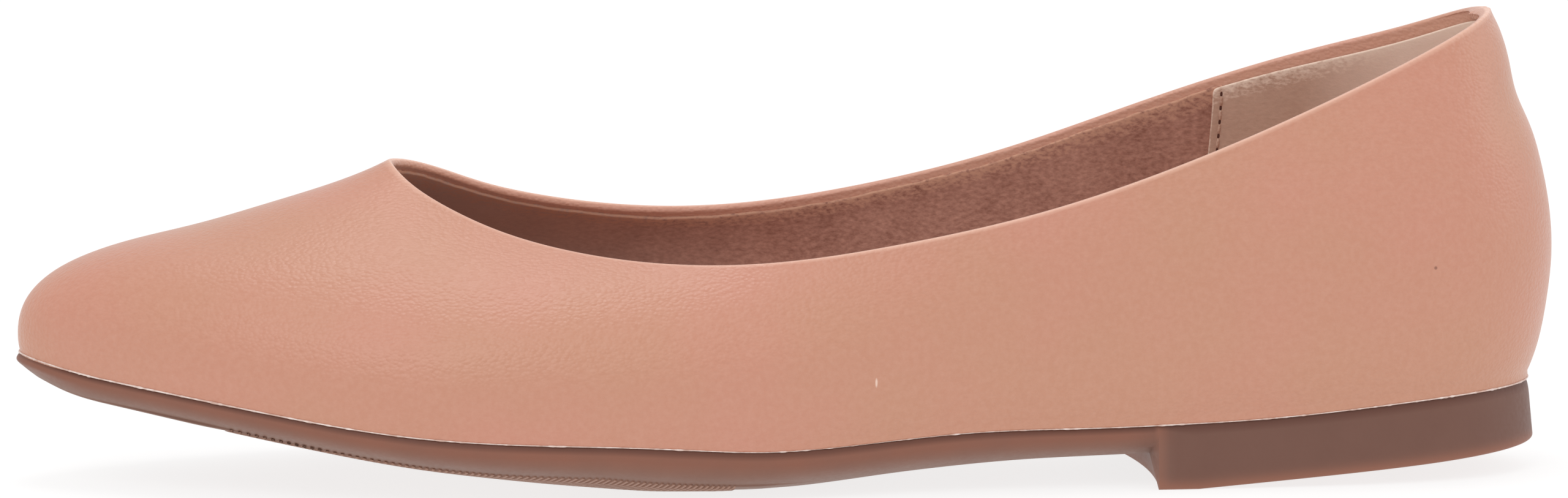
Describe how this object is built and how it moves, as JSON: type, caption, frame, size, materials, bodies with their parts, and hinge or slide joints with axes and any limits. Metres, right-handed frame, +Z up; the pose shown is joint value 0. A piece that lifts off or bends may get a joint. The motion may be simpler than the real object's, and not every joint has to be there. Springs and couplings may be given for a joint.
{
  "type": "ballet flat",
  "caption": "Pointed ballet flat for the left foot: smooth leather upper with a low rounded throat, and a one-piece moulded sole with a low heel",
  "frame": {"origin": "middle of the bounding box, on the floor under the sole", "axes": "+Z up, toe towards -X, heel towards +X, outer (lateral) side of the left foot towards -Y"},
  "size_m": [0.2516, 0.0794, 0.0755],
  "materials": {
    "leather": "nude-pink smooth leather with fine grain and a satin finish",
    "gum_rubber": "brown moulded gum rubber, slightly translucent at its edges",
    "microsuede": "brown microsuede lining"
  },
  "bodies": {
    "root": {"upper": "leather", "outsole": "gum_rubber", "insole": "microsuede"}
  },
  "joints": []
}
